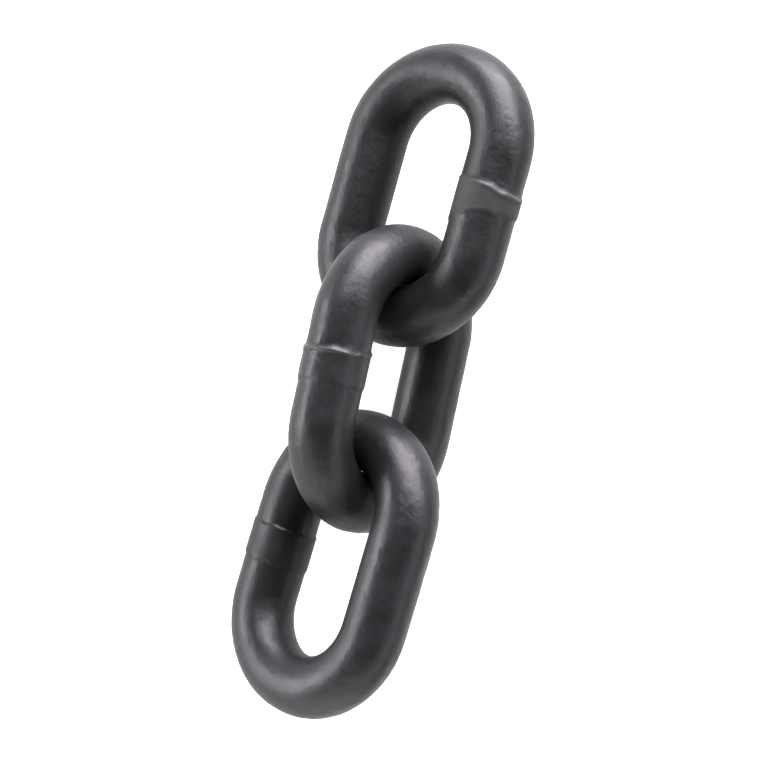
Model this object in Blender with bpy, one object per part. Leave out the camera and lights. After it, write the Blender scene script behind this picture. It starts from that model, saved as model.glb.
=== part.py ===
"""A short length of black short-link chain: three welded links, pulled straight on a level floor.

Units are metres and +Z is up. The chain lies along Y with the floor at z = 0. Each link is one
round steel bar, bent to an oval ring and butt-welded in the middle of one of its two legs. A link
leans on its lower leg, and the links lean left and right by turns, as a pulled chain does.
"""
import math

import bmesh
import bpy
from mathutils import Euler, Vector

# The steel: in short-link chain the pitch, a link's inside length, is about three bar diameters.
# The bar is thinner across the crowns, where it was bent most
BAR = 0.013
CROWN_THICKNESS = 0.0123
PITCH = 0.0392
LINK_WIDTH = 0.0446

# The weld: a band that stands a little proud of the bar, with a short slope at each end
WELD_LENGTH = 0.008
WELD_SLOPE = 0.0006
WELD_RISE = 0.0003

# The bar's facets: one faces straight into the ring and one lies halfway round to its side,
# so a link that leans by 45 degrees lies flat on the floor
SIDES = 24
BOW_STEPS = 19

# Sizes that follow from the steel
BAR_RADIUS = BAR / 2
BOW_RADIUS = (LINK_WIDTH - BAR) / 2
LEG_LENGTH = PITCH + CROWN_THICKNESS - 2 * BOW_RADIUS
CROWN = LEG_LENGTH / 2 + BOW_RADIUS

# The leg on the +X or the -X side of a link's own middle, which carries its weld
UPPER_LEG = 1
LOWER_LEG = -1

# Each link: its middle seen from above, the rise of its upper leg from the world's +X and its
# turn in plan in degrees, and its welded leg. About 0.3 mm stays free where two bars cross
LINKS = {
    "top_link": ((-0.0011, 0.03865), 43, 0.4, UPPER_LEG),
    "middle_link": ((0.0010, 0.0), 135, 3.6, UPPER_LEG),
    "bottom_link": ((0.0015, -0.03868), 49, -0.6, LOWER_LEG),
}

# Each link after the first swings on the lower crown of the link above it
HANGS_ON = {"middle_link": "top_link", "bottom_link": "middle_link"}

LACQUER_COLOUR = (0.032, 0.031, 0.034, 1.0)
LACQUER_ROUGHNESS = 0.38
SHARP_EDGE = math.radians(25)


def clear_scene():
    for obj in list(bpy.data.objects):
        bpy.data.objects.remove(obj, do_unlink=True)


def black_lacquer(name):
    material = bpy.data.materials.new(name)
    material.use_nodes = True
    shader = material.node_tree.nodes["Principled BSDF"]
    shader.inputs["Base Color"].default_value = LACQUER_COLOUR
    shader.inputs["Roughness"].default_value = LACQUER_ROUGHNESS
    shader.inputs["Metallic"].default_value = 0.0
    return material


def new_outline(mesh):
    """Stand the bar's round outline across the leg on the +X side, at the leg's lower end."""
    verts = bmesh.ops.create_circle(mesh, segments=SIDES, radius=BAR_RADIUS)["verts"]
    for turn in ((0, 0, math.pi / SIDES), (math.pi / 2, 0, 0)):
        bmesh.ops.rotate(mesh, verts=verts, matrix=Euler(turn).to_matrix())
    bmesh.ops.translate(mesh, verts=verts, vec=(BOW_RADIUS, -LEG_LENGTH / 2, 0))
    return list({edge for vert in verts for edge in vert.link_edges})


def last_outline(drawn):
    """The points and edges of the outline at the end of what was drawn last."""
    verts = {part for part in drawn if isinstance(part, bmesh.types.BMVert)}
    edges = {edge for vert in verts for edge in vert.link_edges if edge.other_vert(vert) in verts}
    return list(verts), list(edges)


def draw_straight(mesh, outline, length, growth=0.0):
    """Carry the outline along Y, and make its radius larger or smaller by growth."""
    drawn = bmesh.ops.extrude_edge_only(mesh, edges=outline)["geom"]
    verts, edges = last_outline(drawn)
    bmesh.ops.translate(mesh, verts=verts, vec=(0, length, 0))
    middle = sum((vert.co for vert in verts), Vector()) / len(verts)
    for vert in verts:
        spoke = vert.co - middle
        vert.co += spoke.normalized() * growth
    return edges


def draw_bow(mesh, outline, end):
    """Bend the bar half a turn round the link's upper (1) or lower (-1) end."""
    bent = bmesh.ops.spin(
        mesh,
        geom=outline,
        cent=(0, end * LEG_LENGTH / 2, 0),
        axis=(0, 0, 1),
        angle=math.pi,
        steps=BOW_STEPS,
    )
    return last_outline(bent["geom_last"])[1]


def draw_leg(mesh, outline, way, welded):
    """Draw a leg up (1) or down (-1) the link, with the weld's band in the middle of a welded one."""
    if not welded:
        return draw_straight(mesh, outline, way * LEG_LENGTH)
    plain = (LEG_LENGTH - WELD_LENGTH) / 2 - WELD_SLOPE
    outline = draw_straight(mesh, outline, way * plain)
    outline = draw_straight(mesh, outline, way * WELD_SLOPE, WELD_RISE)
    outline = draw_straight(mesh, outline, way * WELD_LENGTH)
    outline = draw_straight(mesh, outline, way * WELD_SLOPE, -WELD_RISE)
    return draw_straight(mesh, outline, way * plain)


def thin_crowns(mesh):
    """Squeeze the bar towards its centreline, in the link's own plane, more and more up to the crowns."""
    squeeze = 1 - CROWN_THICKNESS / BAR
    for vert in mesh.verts:
        bow_middle = math.copysign(LEG_LENGTH / 2, vert.co.y)
        beyond_leg = vert.co.y - bow_middle
        if abs(vert.co.y) <= LEG_LENGTH / 2:
            continue
        spoke = Vector((vert.co.x, beyond_leg))
        crown_share = (beyond_leg / spoke.length) ** 2
        spoke.length -= (spoke.length - BOW_RADIUS) * squeeze * crown_share
        vert.co.x = spoke.x
        vert.co.y = bow_middle + spoke.y


def link_mesh(name, welded_leg):
    """One closed ring of bar, flat in its own XY plane, with its long way on Y."""
    mesh = bmesh.new()
    outline = new_outline(mesh)
    for leg, way in ((UPPER_LEG, 1), (LOWER_LEG, -1)):
        outline = draw_leg(mesh, outline, way, leg == welded_leg)
        outline = draw_bow(mesh, outline, way)
    bmesh.ops.remove_doubles(mesh, verts=mesh.verts, dist=BAR / 1000)
    thin_crowns(mesh)
    bmesh.ops.recalc_face_normals(mesh, faces=mesh.faces)
    data = bpy.data.meshes.new(name)
    mesh.to_mesh(data)
    mesh.free()
    data.shade_smooth()
    data.set_sharp_from_angle(angle=SHARP_EDGE)
    return data


def rest_on_floor(obj):
    """Move the link straight up or down until the lowest point of its lower leg is at z = 0."""
    bpy.context.view_layer.update()
    obj.location.z -= min((obj.matrix_world @ vert.co).z for vert in obj.data.vertices)


def make_link(name):
    (across, along), rise, turn, welded_leg = LINKS[name]
    obj = bpy.data.objects.new(name, link_mesh(name, welded_leg))
    obj.data.materials.append(black_lacquer(name + "_lacquer"))
    bpy.context.scene.collection.objects.link(obj)
    obj.rotation_euler = (0, -math.radians(rise), math.radians(turn))
    obj.location = (across, along, 0)
    rest_on_floor(obj)
    return obj


def hang(link, above):
    """Give the link a parent empty in the middle of the crown that it swings on."""
    swing = bpy.data.objects.new(link.name + "_swing", None)
    bpy.context.scene.collection.objects.link(swing)
    swing.location = above.matrix_world @ Vector((0, -CROWN, 0))
    link.parent = swing
    link.location -= swing.location


def make_chain():
    clear_scene()
    links = {name: make_link(name) for name in LINKS}
    bpy.context.view_layer.update()
    for name, above in HANGS_ON.items():
        hang(links[name], links[above])


make_chain()
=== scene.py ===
# %% [markdown]
# # A short length of black short-link chain
#
# The real object is three links of welded steel chain, pulled straight on a pale floor and seen from
# above. Each link is one hot-rolled round bar, bent to an oval, butt-welded in the middle of one leg
# and dipped in black lacquer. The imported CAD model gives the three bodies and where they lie, and
# this file remodels each link finely, with its weld and its uneven skin, and lights it as a product
# photographer would.

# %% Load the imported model
import math

import bmesh
import bpy
import numpy as np
from mathutils import Euler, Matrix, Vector


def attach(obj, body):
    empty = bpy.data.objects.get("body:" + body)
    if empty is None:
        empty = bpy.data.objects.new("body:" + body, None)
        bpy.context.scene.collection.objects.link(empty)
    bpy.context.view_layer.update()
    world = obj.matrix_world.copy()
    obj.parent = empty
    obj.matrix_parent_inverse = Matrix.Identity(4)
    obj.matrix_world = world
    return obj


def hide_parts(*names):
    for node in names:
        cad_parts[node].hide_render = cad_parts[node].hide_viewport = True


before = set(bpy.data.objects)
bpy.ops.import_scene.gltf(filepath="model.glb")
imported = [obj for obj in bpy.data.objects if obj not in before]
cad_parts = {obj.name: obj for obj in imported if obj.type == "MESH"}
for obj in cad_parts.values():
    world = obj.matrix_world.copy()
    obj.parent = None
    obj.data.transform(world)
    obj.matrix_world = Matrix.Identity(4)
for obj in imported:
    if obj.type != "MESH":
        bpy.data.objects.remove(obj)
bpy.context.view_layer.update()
MM = 0.001

# %% [markdown]
# ## The sizes of a link
#
# Short-link chain has fixed proportions, so a few sizes give the whole link: the bar, the pitch, which
# is a link's inside length, and the outside width. The bow is a half circle, so its radius follows
# from the width, and the straight leg is what is left of the length. Across the crowns, where it was
# bent most, the bar is a little thinner.

# %% Link sizes
BAR_RADIUS = 6.5 * MM
CROWN_THICKNESS = 12.3 * MM
PITCH = 39.2 * MM
LINK_WIDTH = 44.6 * MM
BOW_RADIUS = LINK_WIDTH / 2 - BAR_RADIUS
LEG = PITCH + CROWN_THICKNESS - 2 * BOW_RADIUS
print("bow radius", round(BOW_RADIUS / MM, 2), "mm, straight leg", round(LEG / MM, 2), "mm")

# %% [markdown]
# ## Where each link lies
#
# Pulled chain lies with its links leaning left and right by turns, each on its lower leg. A link is
# modelled flat and then placed by the rise of its upper leg from the world's X axis and a small turn
# in plan, the same values as in the CAD model. The weld is in the middle of the leg on the link's own
# +X side, which is the upper one, or on its -X side, which lies on the floor.

# %% Link places
LINKS = {
    "top_link": {"middle": (-1.1, 38.65), "rise": 43, "turn": 0.4, "weld_side": 1},
    "middle_link": {"middle": (1.0, 0.0), "rise": 135, "turn": 3.6, "weld_side": 1},
    "bottom_link": {"middle": (1.5, -38.68), "rise": 49, "turn": -0.6, "weld_side": -1},
}
WELD_RISE = 0.3 * MM


def link_middle(place):
    """The link's middle, high enough for its lower leg, or the weld on it, to rest on the floor."""
    lower_leg = BAR_RADIUS + (WELD_RISE if place["weld_side"] < 0 else 0)
    height = BOW_RADIUS * math.sin(math.radians(place["rise"])) + lower_leg
    return Vector((place["middle"][0] * MM, place["middle"][1] * MM, height))


for name, place in LINKS.items():
    print(name, "middle in mm", [round(x / MM, 2) for x in link_middle(place)])

# %% [markdown]
# ## Bend one bar into a link
#
# A maker bends a bar round two pins. The same can be done with a circle that is carried round the
# link: extruded straight for a leg and spun half a turn for a bow, twice over. Spin keeps the bar
# round in the bow, which a bent cylinder wouldn't. The long leg faces are then cut across, so that
# the skin has points everywhere for its weld and its dents.


# %% Selection helpers
def select_nothing():
    bpy.ops.object.select_all(action="DESELECT")


def select_edges(link, wanted):
    """Select only the edges that a test on their two ends picks."""
    bpy.ops.mesh.select_mode(type="EDGE")
    bpy.ops.mesh.select_all(action="DESELECT")
    shape = bmesh.from_edit_mesh(link.data)
    for edge in shape.edges:
        if wanted(edge.verts[0].co, edge.verts[1].co):
            edge.select_set(True)
    bmesh.update_edit_mesh(link.data)


# %% Draw the plain link
AROUND = 128
BOW_STEPS = 150
LEG_CUTS = 67
NEARLY_A_LEG = 0.9 * LEG
SAME_POINT = 0.01 * MM
select_nothing()
bpy.ops.mesh.primitive_circle_add(
    vertices=AROUND,
    radius=BAR_RADIUS,
    location=(BOW_RADIUS, -LEG / 2, 0),
    rotation=(math.pi / 2, 0, 0),
)
plain_link = bpy.context.object
plain_link.name = "plain_link"
bpy.ops.object.transform_apply(location=True, rotation=True, scale=True)
bpy.ops.object.mode_set(mode="EDIT")
bpy.ops.mesh.select_all(action="SELECT")
for way in (1, -1):
    bpy.ops.mesh.extrude_region_move(TRANSFORM_OT_translate={"value": (0, way * LEG, 0)})
    bpy.ops.mesh.spin(steps=BOW_STEPS, angle=math.pi, center=(0, way * LEG / 2, 0), axis=(0, 0, -1))
bpy.ops.mesh.select_all(action="SELECT")
bpy.ops.mesh.remove_doubles(threshold=SAME_POINT)
bpy.ops.mesh.normals_make_consistent(inside=False)
select_edges(plain_link, lambda a, b: abs(a.y - b.y) > NEARLY_A_LEG)
bpy.ops.mesh.subdivide(number_cuts=LEG_CUTS)
bpy.ops.object.mode_set(mode="OBJECT")
print("plain link:", len(plain_link.data.polygons), "faces")
print("plain link in mm:", [round(x / MM, 2) for x in plain_link.dimensions])

# %% [markdown]
# ## Thin the crowns
#
# The skin is shaped with Displace modifiers, which push each point along its normal by a painted
# group of weights. The first one thins the bar across the crowns: the weights are 0 on the legs and
# grow to 1 at the crown, inside and outside the bow only, so the bar becomes slightly oval there.
#
# Then the seats, where two links bear on each other, come a little closer together. The lower crown
# carries the next link at one place only and gets the higher seat. The upper crown's seat goes round
# with the link when it swings, and stays lower, so that it keeps clear of the bar it swings on.
#
# The inside of a link and the flanks of its crowns are rubbed smooth by the next link, which can swing
# far round, so the waves and dents that come later leave that part of the skin out. How far outwards a
# point lies on its bar goes from -1, inside the link, to 1, outside it.


# %% Skin helpers
FAINTEST = 0.001


def points_of(link):
    points = np.empty(len(link.data.vertices) * 3, np.float32)
    link.data.vertices.foreach_get("co", points)
    return points.reshape(-1, 3)


def paint_group(link, name, weights):
    group = link.vertex_groups.new(name=name)
    for point in np.flatnonzero(weights > FAINTEST):
        group.add([int(point)], float(weights[point]), "REPLACE")


def push_skin(link, name, height, group="", pattern=None, rest=0.0):
    """Push the skin outwards by height where the pattern is white, and not at all where it is rest."""
    bpy.context.view_layer.objects.active = link
    push = link.modifiers.new(name, "DISPLACE")
    push.strength = height
    push.mid_level = rest
    push.vertex_group = group
    push.texture = pattern
    push.texture_coords = "LOCAL"
    bpy.ops.object.modifier_apply(modifier=name)


def unbend(points, weld_side=1):
    """Each point's place on the straight bar: outwards, up and along, with the weld at its two ends."""
    x, y, z = points.T.astype(float)
    x = -weld_side * x
    bow_middle = np.clip(y, -LEG / 2, LEG / 2)
    in_bow = np.abs(y) > LEG / 2
    outwards = np.where(in_bow, np.hypot(x, y - bow_middle), np.abs(x)) - BOW_RADIUS
    on_leg = np.where(x > 0, y, np.sign(y) * (LEG + math.pi * BOW_RADIUS) - y)
    on_bow = np.sign(y) * LEG / 2 + BOW_RADIUS * np.arctan2(y - bow_middle, x)
    return np.stack([outwards, z, np.where(in_bow, on_bow, on_leg)], axis=1)


def smooth_step(low, high, value):
    share = np.clip((value - low) / (high - low), 0, 1)
    return share * share * (3 - 2 * share)


# %% Thin the crowns
SEATS = {
    "upper seat": {"end": 1, "rise": 0.06 * MM},
    "lower seat": {"end": -1, "rise": 0.23 * MM},
}
FREE_FLANK, RUBBED_FLANK = 0.8, 0.4
FREE_INSIDE, RUBBED_INSIDE = 0.1, -0.6
OUTSIDE_FROM, OUTSIDE_FULL = 0, 0.6
points = points_of(plain_link)
beyond_leg = np.maximum(np.abs(points[:, 1]) - LEG / 2, 0)
crown_share = (beyond_leg / np.hypot(points[:, 0], beyond_leg)) ** 2
outwards = unbend(points)[:, 0] / BAR_RADIUS
paint_group(plain_link, "crowns", crown_share * outwards**2)
for name, seat in SEATS.items():
    at_this_end = seat["end"] * points[:, 1] > 0
    paint_group(plain_link, name, crown_share * np.clip(-outwards, 0, 1) * at_this_end)
rubbed_crown = crown_share * smooth_step(FREE_FLANK, RUBBED_FLANK, outwards)
rubbed_inside = smooth_step(FREE_INSIDE, RUBBED_INSIDE, outwards)
paint_group(plain_link, "free skin", 1 - np.maximum(rubbed_crown, rubbed_inside))
paint_group(plain_link, "outside", smooth_step(OUTSIDE_FROM, OUTSIDE_FULL, outwards))
push_skin(plain_link, "thin crowns", CROWN_THICKNESS / 2 - BAR_RADIUS, group="crowns")
for name, seat in SEATS.items():
    push_skin(plain_link, name, seat["rise"], group=name)
print("link with thin crowns, in mm:", [round(x / MM, 2) for x in plain_link.dimensions])

# %% [markdown]
# ## Three links from one
#
# The links of a chain come off one machine, so they differ only in where the weld ended up and in
# their dents. The plain link is copied three times, each copy with its own mesh, and the first one
# is thrown away.


# %% Copy the plain link
def copy_link(name):
    """One more link with its own mesh, still lying flat round the scene's origin."""
    select_nothing()
    plain_link.select_set(True)
    bpy.context.view_layer.objects.active = plain_link
    bpy.ops.object.duplicate(linked=False)
    link = bpy.context.object
    link.name = name
    link.data.name = name
    return link


forged = {node: copy_link("forged_" + node) for node in LINKS}
bpy.data.objects.remove(plain_link)
print("copied:", [link.name for link in forged.values()])

# %% [markdown]
# ## Where the weld will be
#
# The bar's two ends were pressed together red-hot, and a tool then cut off most of the metal that
# was squeezed out. What is left is a band, a little thicker than the bar, with a ragged lip where the
# tool started. The lip is about a millimetre wide, so the leg first gets finer rings where the two
# edges of the band are. The edges run round the bar, which is why the long edges between them are cut.

# %% Cut finer rings at the weld
FINE_FROM, FINE_TO = 1.6 * MM, 5.2 * MM
SHORTEST_LONG_EDGE = 0.1 * MM
FINE_CUTS = 2


def cut_weld_rings(link, side):
    """Cut the welded leg three times as finely near both edges of the weld."""
    bpy.context.view_layer.objects.active = link
    bpy.ops.object.mode_set(mode="EDIT")

    def beside_weld_edge(a, b):
        middle = abs(a.y + b.y) / 2
        along = abs(a.y - b.y) > SHORTEST_LONG_EDGE
        return along and side * a.x > 0 and FINE_FROM < middle < FINE_TO

    select_edges(link, beside_weld_edge)
    bpy.ops.mesh.subdivide(number_cuts=FINE_CUTS)
    bpy.ops.object.mode_set(mode="OBJECT")


for node, link in forged.items():
    cut_weld_rings(link, LINKS[node]["weld_side"])
    print(link.name, len(link.data.polygons), "faces")

# %% [markdown]
# ## How each weld was trimmed
#
# No two welds are trimmed alike. Each has an upper and a lower edge, in mm along the leg, both a little
# aslant. A lip of squeezed-out metal, with its height in mm, is left on the upper one. It is highest
# at one place round the bar, in degrees, and a higher focus makes it shorter. The skin between the
# edges is more or less scorched, from 0 to 1.
#
# The edges wander a little along the leg as they go round the bar. The wander is the sum of three
# waves, each given by how many times it goes up and down on the way round and by its size in mm. Where
# the waves start, in radians, is given for each weld. Past the edges, the band and the lip fade out
# over some tenths of a mm.

# %% Weld sizes
WELDS = {
    "top_link": {
        "upper": 3.5,
        "upper_slant": -0.2,
        "lower": -2.7,
        "lower_slant": 0.25,
        "lip": 0.44,
        "lip_at": 26,
        "lip_focus": 8,
        "wander_starts": (3.96, 0, 2),
        "scorch": 1.0,
    },
    "middle_link": {
        "upper": 3.2,
        "upper_slant": -0.1,
        "lower": -3.2,
        "lower_slant": 0.0,
        "lip": 0.3,
        "lip_at": -45,
        "lip_focus": 1,
        "wander_starts": (2.7, 0, 2),
        "scorch": 0.1,
    },
    "bottom_link": {
        "upper": 3.6,
        "upper_slant": 0.1,
        "lower": -3.4,
        "lower_slant": 0.1,
        "lip": 0.09,
        "lip_at": -90,
        "lip_focus": 2,
        "wander_starts": (0.81, 0, 2),
        "scorch": 0.15,
    },
}
for node, weld in WELDS.items():
    print(node, "weld is", round(weld["upper"] - weld["lower"], 2), "mm long")


# %% Weld profile
WANDER = (3, 0.16), (7, 0.1), (13, 0.07)
LOWER_WANDER = 1.5
UPPER_FADE = -0.1, 0.6
LOWER_FADE = -0.8, 0.3
LIP_ABOVE, LIP_BELOW = 0.8, 0.4
LIP_LOWEST = 0.1


def weld_profile(points, weld_side, weld):
    """For each point, how much it belongs to the weld's band and to the lip at its upper edge, 0 to 1."""
    x, y, z = points.T / MM
    outwards = weld_side * x - BOW_RADIUS / MM
    round_bar = np.arctan2(z, outwards)
    waves = zip(WANDER, weld["wander_starts"])
    wander = sum(size * np.sin(times * round_bar + start) for (times, size), start in waves)
    above_upper = y - weld["upper"] - weld["upper_slant"] * outwards - wander
    above_lower = y - weld["lower"] - weld["lower_slant"] * outwards - LOWER_WANDER * wander
    on_leg = weld_side * x > 0
    band = on_leg * (1 - smooth_step(*UPPER_FADE, above_upper)) * smooth_step(*LOWER_FADE, above_lower)
    near_lip_place = 0.5 + 0.5 * np.cos(round_bar - math.radians(weld["lip_at"]))
    swell = LIP_LOWEST + (1 - LIP_LOWEST) * near_lip_place ** weld["lip_focus"]
    lip_reach = np.where(above_upper > 0, LIP_ABOVE, LIP_BELOW)
    lip = on_leg * swell * np.exp(-((above_upper / lip_reach) ** 2))
    return band, lip


# %% [markdown]
# ## Remember the straight bar
#
# Rolling and drawing marks ran straight along the bar before it was bent, so in the link they follow
# it round. For that, each point keeps an attribute, straight_bar, with its place on the bar before the
# bending: two numbers across it and one along it. Two more attributes tell the lacquer where the lip
# of the weld is and how much its band is scorched. All come from the flat link, before it is turned.

# %% Write the attributes
def keep_attribute(link, name, kind, values):
    attribute = link.data.attributes.new(name, kind, "POINT")
    field = "vector" if kind == "FLOAT_VECTOR" else "value"
    attribute.data.foreach_set(field, values.astype(np.float32).ravel())


for node, link in forged.items():
    side = LINKS[node]["weld_side"]
    points = points_of(link)
    weld = WELDS[node]
    band, lip = weld_profile(points, side, weld)
    keep_attribute(link, "straight_bar", "FLOAT_VECTOR", unbend(points, side))
    keep_attribute(link, "weld_lip", "FLOAT", lip * weld["lip"])
    keep_attribute(link, "weld_scorch", "FLOAT", band * weld["scorch"])
    paint_group(link, "band", band)
    paint_group(link, "lip", lip)
    reach = unbend(points, side)[:, 2]
    print(link.name, "bar length in mm:", round((reach.max() - reach.min()) / MM, 1))

# %% [markdown]
# ## Lay the links in the chain
#
# Each link is turned by the rise of its upper leg, and a little in plan, and moved to its middle. The
# turn and the move are applied, so the place is in the mesh and the object itself stays at the origin.

# %% Place the links
for node, link in forged.items():
    place = LINKS[node]
    select_nothing()
    link.select_set(True)
    bpy.context.view_layer.objects.active = link
    link.rotation_euler = (0, -math.radians(place["rise"]), math.radians(place["turn"]))
    link.location = link_middle(place)
    bpy.ops.object.transform_apply(location=True, rotation=True, scale=True)
    points = points_of(link)
    print(link.name, "from", np.round(points.min(0) / MM, 2), "to", np.round(points.max(0) / MM, 2))

# %% [markdown]
# ## Raise the weld and wear the skin
#
# More Displace modifiers shape the rest of the skin, now also by cloudy patterns. First come the
# band and its lip, which is partly cloudy, because squeezed-out metal is ragged. Then the whole link
# gets the shallow waves and small dents of hot-rolled bar under a thick dip of lacquer. They go out by
# less than a tenth of a millimetre, so the links keep clear of each other at rest and at both ends of
# their swing. Round the outside, where nothing rubs, the lacquer lies a little thicker.


# %% Cloudy patterns
def cloudy(name, size, depth=2):
    pattern = bpy.data.textures.new(name, "CLOUDS")
    pattern.noise_scale = size
    pattern.noise_depth = depth
    return pattern


RAGGED = cloudy("ragged", 2.2 * MM)
WAVES = cloudy("waves", 11 * MM)
DENTS = cloudy("dents", 2.6 * MM, depth=3)
for pattern in (RAGGED, WAVES, DENTS):
    print(pattern.name, "clouds are", round(pattern.noise_scale / MM, 1), "mm across")

# %% Shape the skin
BAND_SHARE = 0.8
EVEN_LIP_SHARE = 0.5
WAVE_HEIGHT = 0.2 * MM
DENT_HEIGHT = 0.11 * MM
UNMOVED = 0.7
GATHERED = 0.06 * MM
for node, link in forged.items():
    before = points_of(link)
    lip_height = WELDS[node]["lip"] * MM
    push_skin(link, "weld band", BAND_SHARE * WELD_RISE, group="band")
    push_skin(link, "weld lip", EVEN_LIP_SHARE * lip_height, group="lip")
    push_skin(link, "ragged lip", lip_height, group="lip", pattern=RAGGED)
    push_skin(link, "bar waves", WAVE_HEIGHT, group="free skin", pattern=WAVES, rest=UNMOVED)
    push_skin(link, "bar dents", DENT_HEIGHT, group="free skin", pattern=DENTS, rest=UNMOVED)
    push_skin(link, "gathered lacquer", GATHERED, group="outside")
    moved = np.linalg.norm(points_of(link) - before, axis=1) / MM
    print(link.name, "skin moved by up to", round(moved.max(), 3), "mm, mean", round(moved.mean(), 3))
    select_nothing()
    link.select_set(True)
    bpy.context.view_layer.objects.active = link
    bpy.ops.object.shade_smooth()

# %% [markdown]
# ## Black lacquer
#
# The chain was dipped in black lacquer, which dries to a satin skin: nearly black, a little violet,
# with soft highlights. It is thicker here and thinner there, so its gloss changes slowly over a link,
# and it has a fine orange peel. Under it lie the small dents that mill scale leaves in hot-rolled bar,
# and faint marks that run along the bar. On the lip of the weld it is rubbed thin, and dull steel
# shows through. The band of the weld is scorched to a paler and duller grey.

# %% Lacquer helpers
material = bpy.data.materials.new("satin_black_lacquer")
material.use_nodes = True
nodes = material.node_tree.nodes
wires = material.node_tree.links
lacquer = nodes["Principled BSDF"]
lacquer.inputs["IOR"].default_value = 1.5
CLOUD_LOW, CLOUD_HIGH = 0.3, 0.7


def add_node(kind, **settings):
    """Add a node, and set its inputs and its own settings by name."""
    node = nodes.new(kind)
    for name, value in settings.items():
        if name in node.inputs:
            node.inputs[name].default_value = value
        else:
            setattr(node, name, value)
    return node


def cloud(where, size, detail=2.0, roughness=0.5):
    """A cloudy pattern whose patches are about size across."""
    noise = add_node("ShaderNodeTexNoise", Scale=1 / size, Detail=detail, Roughness=roughness)
    wires.new(where, noise.inputs["Vector"])
    return noise.outputs["Fac"]


def between(value, low, high):
    """Stretch a cloudy pattern, which seldom comes near 0 or 1, to run from low to high."""
    stretch = add_node("ShaderNodeMapRange")
    stretch.inputs["From Min"].default_value = CLOUD_LOW
    stretch.inputs["From Max"].default_value = CLOUD_HIGH
    stretch.inputs["To Min"].default_value = low
    stretch.inputs["To Max"].default_value = high
    wires.new(value, stretch.inputs["Value"])
    return stretch.outputs["Result"]


# %% Lacquer patterns
MARK_STRETCH = 14
place_on_link = add_node("ShaderNodeTexCoord").outputs["Object"]
place_on_bar = add_node("ShaderNodeAttribute", attribute_name="straight_bar").outputs["Vector"]
weld_lip = add_node("ShaderNodeAttribute", attribute_name="weld_lip").outputs["Fac"]
weld_scorch = add_node("ShaderNodeAttribute", attribute_name="weld_scorch").outputs["Fac"]
stretched = add_node("ShaderNodeMapping", vector_type="TEXTURE", Scale=(1, 1, MARK_STRETCH))
wires.new(place_on_bar, stretched.inputs["Vector"])

patches = cloud(place_on_link, 6 * MM, detail=4)
scale_dents = cloud(place_on_link, 3.2 * MM, detail=5, roughness=0.62)
orange_peel = cloud(place_on_link, 1.1 * MM)
grain = cloud(place_on_link, 0.35 * MM, detail=3)
draw_marks = cloud(stretched.outputs["Vector"], 0.9 * MM, detail=3)
print("lacquer patterns:", sum(node.type == "TEX_NOISE" for node in nodes))

# %% Lacquer colour and gloss
THICK_BLACK = (0.0125, 0.012, 0.0131, 1)
THIN_BLACK = (0.0255, 0.0243, 0.0265, 1)
SCORCHED_GREY = (0.036, 0.0345, 0.036, 1)
BARE_STEEL = (0.085, 0.082, 0.081, 1)
GLOSSIEST, DULLEST = 0.37, 0.48
DULLER_WHERE_SCORCHED = 0.2


def blend(share, first, second):
    """A colour that goes from the first, a colour or another blend, to the second as share goes to 1."""
    mix = add_node("ShaderNodeMix", data_type="RGBA", B=second)
    wires.new(share, mix.inputs["Factor"])
    if isinstance(first, bpy.types.NodeSocket):
        wires.new(first, mix.inputs["A"])
    else:
        mix.inputs["A"].default_value = first
    return mix.outputs["Result"]


colour = blend(patches, THICK_BLACK, THIN_BLACK)
colour = blend(weld_scorch, colour, SCORCHED_GREY)
colour = blend(weld_lip, colour, BARE_STEEL)
wires.new(colour, lacquer.inputs["Base Color"])
roughness = add_node("ShaderNodeMath", operation="MULTIPLY_ADD")
wires.new(weld_scorch, roughness.inputs[0])
roughness.inputs[1].default_value = DULLER_WHERE_SCORCHED
wires.new(between(patches, GLOSSIEST, DULLEST), roughness.inputs[2])
wires.new(roughness.outputs["Value"], lacquer.inputs["Roughness"])
print("lacquer roughness from", GLOSSIEST, "to", DULLEST, "and more where scorched")

# %% Lacquer relief
def bump(pattern, strength, height, below=None):
    """Relief of this pattern and height, on top of the relief below it."""
    layer = add_node("ShaderNodeBump", Strength=strength, Distance=height)
    wires.new(pattern, layer.inputs["Height"])
    if below:
        wires.new(below, layer.inputs["Normal"])
    return layer.outputs["Normal"]


relief = bump(scale_dents, strength=0.7, height=0.22 * MM)
relief = bump(orange_peel, strength=0.6, height=0.1 * MM, below=relief)
relief = bump(grain, strength=0.5, height=0.03 * MM, below=relief)
relief = bump(draw_marks, strength=0.5, height=0.07 * MM, below=relief)
wires.new(relief, lacquer.inputs["Normal"])
print("lacquer has", len(nodes), "nodes")

# %% Lacquer the links
for node, link in forged.items():
    link.data.materials.clear()
    link.data.materials.append(material)
    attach(link, node)
    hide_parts(node)
print("lacquered:", [link.name for link in forged.values()])

# %% [markdown]
# ## The floor
#
# A plain white sheet. It glows a little, like a light table, and the glow is painted light: it washes
# out the shade round and under the chain, so that the sheet stays clean white there, as in the picture
# of such stock for a catalogue.

# %% Floor
SHEET_SIZE = 6
SHEET_WHITE = (0.5, 0.5, 0.5, 1)
SHEET_PAINTED_GLOW = 0.88
select_nothing()
bpy.ops.mesh.primitive_plane_add(size=SHEET_SIZE, location=(0, 0, 0))
floor = bpy.context.object
floor.name = "floor"
sheet = bpy.data.materials.new("white_sheet")
sheet.use_nodes = True
white = sheet.node_tree.nodes["Principled BSDF"]
white.inputs["Base Color"].default_value = SHEET_WHITE
white.inputs["Roughness"].default_value = 0.9
white.inputs["Specular IOR Level"].default_value = 0.0
# Painted light: the sheet's glow washes out the shade round and under the chain and keeps it clean white.
white.inputs["Emission Color"].default_value = (1, 1, 1, 1)
white.inputs["Emission Strength"].default_value = SHEET_PAINTED_GLOW
floor.data.materials.append(sheet)
print("floor is", SHEET_SIZE, "m wide and glows with", SHEET_PAINTED_GLOW)

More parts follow.
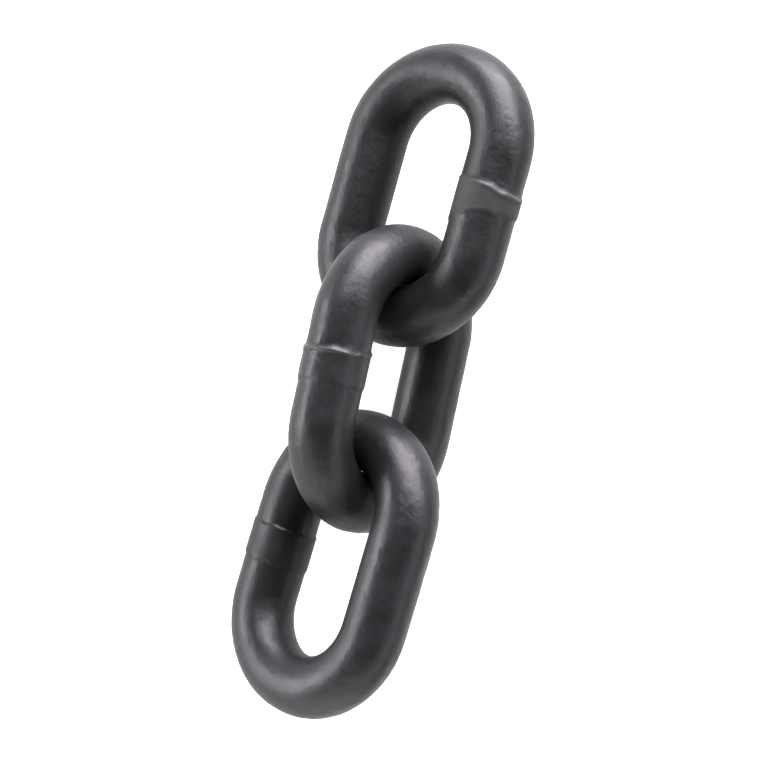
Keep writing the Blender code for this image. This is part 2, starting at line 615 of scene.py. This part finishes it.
# %% [markdown]
# ## The light
#
# Black lacquer shows little but what it reflects, so the light is a tent with bright panels on its
# walls, each chosen by what it draws on the links. A wide panel beyond the far end of the chain draws
# the broad highlights on the bows, and a narrower one below it draws the bright streak over each
# crown. Two low panels on the left draw the pale rims along the left of every bar. A weak one on the
# near right keeps the other flanks from going black.
#
# A panel is given by the azimuth of its middle and by angles between which it fades: half its width,
# full and none, its bottom, none and full, and its top, full and none. A panel with no bottom goes
# down to the floor.

# %% Panels of the tent
PANELS = {
    "far_wide": {
        "azimuth": 89,
        "half_width": (25, 67),
        "bottom": (17, 41),
        "top": (47, 61),
        "radiance": 14.0,
    },
    "far_strip": {
        "azimuth": 94,
        "half_width": (13, 34),
        "bottom": None,
        "top": (1, 46),
        "radiance": 20.0,
    },
    "left_spot": {
        "azimuth": 188,
        "half_width": (2, 26),
        "bottom": None,
        "top": (6, 13),
        "radiance": 23.0,
    },
    "near_left_wall": {
        "azimuth": 233,
        "half_width": (67, 75),
        "bottom": None,
        "top": (1, 10),
        "radiance": 11.0,
    },
    "near_right": {
        "azimuth": 303,
        "half_width": (2, 144),
        "bottom": (16, 22),
        "top": (28, 48),
        "radiance": 5.2,
    },
}
print("panels:", list(PANELS))

# %% Tent helpers
world = bpy.data.worlds.new("light_tent")
bpy.context.scene.world = world
world.use_nodes = True
tent = world.node_tree
direction = tent.nodes.new("ShaderNodeTexCoord").outputs["Generated"]
parts = tent.nodes.new("ShaderNodeSeparateXYZ")
tent.links.new(direction, parts.inputs["Vector"])


def compute(operation, *values):
    """One step of arithmetic on numbers or on other nodes' outputs."""
    node = tent.nodes.new("ShaderNodeMath")
    node.operation = operation
    for socket, value in zip(node.inputs, values):
        if isinstance(value, bpy.types.NodeSocket):
            tent.links.new(value, socket)
        else:
            socket.default_value = value
    return node.outputs["Value"]


def fade(value, start, end):
    """0 at start, 1 at end and smooth in between."""
    ramp = tent.nodes.new("ShaderNodeMapRange")
    ramp.interpolation_type = "SMOOTHSTEP"
    ramp.inputs["From Min"].default_value = start
    ramp.inputs["From Max"].default_value = end
    tent.links.new(value, ramp.inputs["Value"])
    return ramp.outputs["Result"]


def panel_light(panel):
    """The panel's radiance in every direction. Angles are in degrees, azimuth is from +X towards +Y."""
    off_axis = compute("COSINE", compute("SUBTRACT", azimuth, math.radians(panel["azimuth"])))
    full, none = [math.cos(math.radians(angle)) for angle in panel["half_width"]]
    light = fade(off_axis, none, full)
    full, none = [math.sin(math.radians(angle)) for angle in panel["top"]]
    light = compute("MULTIPLY", light, fade(parts.outputs["Z"], none, full))
    if panel["bottom"]:
        none, full = [math.sin(math.radians(angle)) for angle in panel["bottom"]]
        light = compute("MULTIPLY", light, fade(parts.outputs["Z"], none, full))
    return compute("MULTIPLY", light, panel["radiance"])


# %% Hang the panels
TENT_COLOUR = (0.99, 0.967, 1.0, 1)
azimuth = compute("ARCTAN2", parts.outputs["Y"], parts.outputs["X"])
tent_light = 0.0
for name, panel in PANELS.items():
    tent_light = compute("ADD", panel_light(panel), tent_light)
    print("hung", name, "with radiance", panel["radiance"])
tent.links.new(tent_light, tent.nodes["Background"].inputs["Strength"])
tent.nodes["Background"].inputs["Color"].default_value = TENT_COLOUR

# %% [markdown]
# ## The camera
#
# The picture was taken from almost straight above with a long lens. The chain runs up and to the
# right in it, because the camera is turned by 16 degrees. The picture is developed hard, with more
# contrast than plain, as catalogues do.

# %% Camera
CAMERA_TARGET = Vector((1.370, -0.853, 18.214)) * MM
CAMERA_TURN = Euler([math.radians(x) for x in (0.353, -6.394, 15.939)])
CAMERA_DISTANCE = 467.3 * MM
SENSOR_WIDTH = 36
FOCAL_LENGTH = 107.65
CONTRAST = 1.4
lens = bpy.data.cameras.new("camera")
lens.sensor_width = SENSOR_WIDTH
lens.lens = FOCAL_LENGTH
camera = bpy.data.objects.new("camera", lens)
bpy.context.scene.collection.objects.link(camera)
camera.rotation_euler = CAMERA_TURN
camera.location = CAMERA_TARGET + CAMERA_TURN.to_matrix() @ Vector((0, 0, CAMERA_DISTANCE))
bpy.context.scene.camera = camera
bpy.context.scene.view_settings.view_transform = "Standard"
bpy.context.scene.view_settings.gamma = 1 / CONTRAST
print("camera at", [round(x, 4) for x in camera.location])
